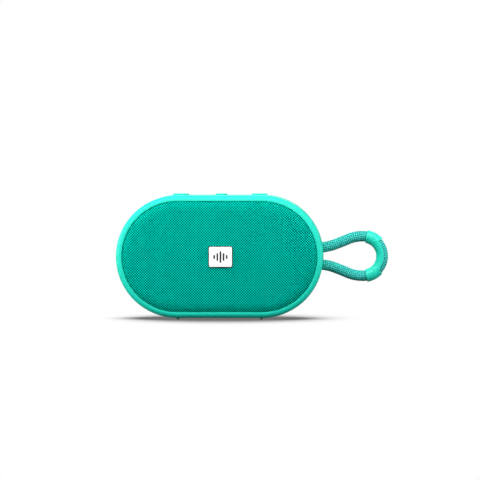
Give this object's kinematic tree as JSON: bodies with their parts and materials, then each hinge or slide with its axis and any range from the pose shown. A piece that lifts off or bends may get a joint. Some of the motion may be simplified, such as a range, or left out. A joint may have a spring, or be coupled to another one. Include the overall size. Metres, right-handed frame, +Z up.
{
  "type": "portable bluetooth speaker",
  "caption": "Racetrack-shaped portable speaker with a cloth front, raised keys on top and a rope carrying loop.",
  "frame": {"origin": "bottom centre: midway across the band and the depth, at the height of the feet's undersides", "axes": "+Z up, the cloth front faces -Y, +X points out of the end with the carrying loop"},
  "size_m": [0.1576, 0.042, 0.0728],
  "materials": {
    "shell": "satin gloss turquoise",
    "cloth": "plain weave",
    "soft_rubber": "matt",
    "badge_dark": "gloss",
    "badge_white": "gloss",
    "rope": "braided",
    "grip": "satin",
    "dark_plastic": "matt",
    "seal": "matt",
    "steel": "zinc plated",
    "magnet": "ferrite",
    "board": "solder mask",
    "chip": "moulded",
    "can": "tinned",
    "connector": "moulded",
    "cell": "shrink sleeve",
    "copper": "enamelled wire",
    "paper": "pressed paper",
    "spider_cloth": "treated cloth",
    "lens": "clear"
  },
  "bodies": {
    "root": {"housing": "shell", "rear_cover": "shell", "main_gasket": "seal", "case_screws": "steel", "front_baffle": "dark_plastic", "baffle_screws": "steel", "grille_plate": "dark_plastic", "fabric_cover": "cloth", "badge_backing": "badge_dark", "badge_plate": "badge_white", "badge_bars": "badge_dark", "key_gasket": "seal", "key_domes": "steel", "key_board": "board", "key_bracket": "dark_plastic", "bracket_screws": "steel", "lanyard_cord_ends": "rope", "cord_ferrules": "steel", "lanyard_anchor": "steel", "anchor_screws": "steel", "flap_anchor": "soft_rubber", "usb_socket": "steel", "status_light": "lens", "main_board": "board", "board_shield": "can", "board_chips": "chip", "board_connectors": "connector", "board_screws": "steel", "battery_cell": "cell", "battery_tray": "dark_plastic", "battery_board": "board", "battery_strips": "steel", "battery_lead": "seal", "driver_leads": "seal", "key_lead": "seal", "driver_screws": "steel", "passive_frame": "dark_plastic", "passive_surround": "soft_rubber", "left_foot": "soft_rubber", "right_foot": "soft_rubber", "driver_baskets": "steel", "driver_magnets": "magnet", "driver_top_plates": "steel", "driver_yokes": "steel", "left_surround": "seal", "right_surround": "seal", "left_spider": "spider_cloth", "right_spider": "spider_cloth"},
    "minus_key": {"minus_key": "shell"},
    "play_key": {"play_key": "shell"},
    "plus_key": {"plus_key": "shell"},
    "loop": {"lanyard_cord": "rope", "lanyard_grip": "grip"},
    "port_flap": {"port_flap": "soft_rubber"},
    "left_cone": {"left_cone": "paper", "left_coil": "copper"},
    "right_cone": {"right_cone": "paper", "right_coil": "copper"},
    "passive_plate": {"passive_plate": "shell", "passive_weight": "steel"}
  },
  "joints": [
    {"name": "minus_key_press", "type": "slide", "parent": "root", "child": "minus_key", "axis": [0, 0, -1], "range_m": [0, 0.0004], "stiffness_N_per_m": 400, "deforming": ["key_domes"]},
    {"name": "play_key_press", "type": "slide", "parent": "root", "child": "play_key", "axis": [0, 0, -1], "range_m": [0, 0.0004], "stiffness_N_per_m": 400, "deforming": ["key_domes"]},
    {"name": "plus_key_press", "type": "slide", "parent": "root", "child": "plus_key", "axis": [0, 0, -1], "range_m": [0, 0.0004], "stiffness_N_per_m": 400, "deforming": ["key_domes"]},
    {"name": "loop_swing", "type": "hinge", "parent": "root", "child": "loop", "pos_m": [0.063, 0, 0.03645], "axis": [0, 0, 1], "range_deg": [-75, 75], "stiffness_Nm_per_rad": 0.03},
    {"name": "port_flap_open", "type": "hinge", "parent": "root", "child": "port_flap", "pos_m": [-0.0512, 0.0206, 0.03645], "axis": [0, 0, 1], "range_deg": [0, 100], "stiffness_Nm_per_rad": 0.002},
    {"name": "left_cone_move", "type": "slide", "parent": "root", "child": "left_cone", "axis": [0, 1, 0], "range_m": [-0.0015, 0.0015], "stiffness_N_per_m": 1200, "deforming": ["left_surround", "left_spider"]},
    {"name": "right_cone_move", "type": "slide", "parent": "root", "child": "right_cone", "axis": [0, 1, 0], "range_m": [-0.0015, 0.0015], "stiffness_N_per_m": 1200, "deforming": ["right_surround", "right_spider"]},
    {"name": "passive_plate_move", "type": "slide", "parent": "root", "child": "passive_plate", "axis": [0, 1, 0], "range_m": [-0.0015, 0.0015], "stiffness_N_per_m": 1500, "deforming": ["passive_surround"]}
  ]
}
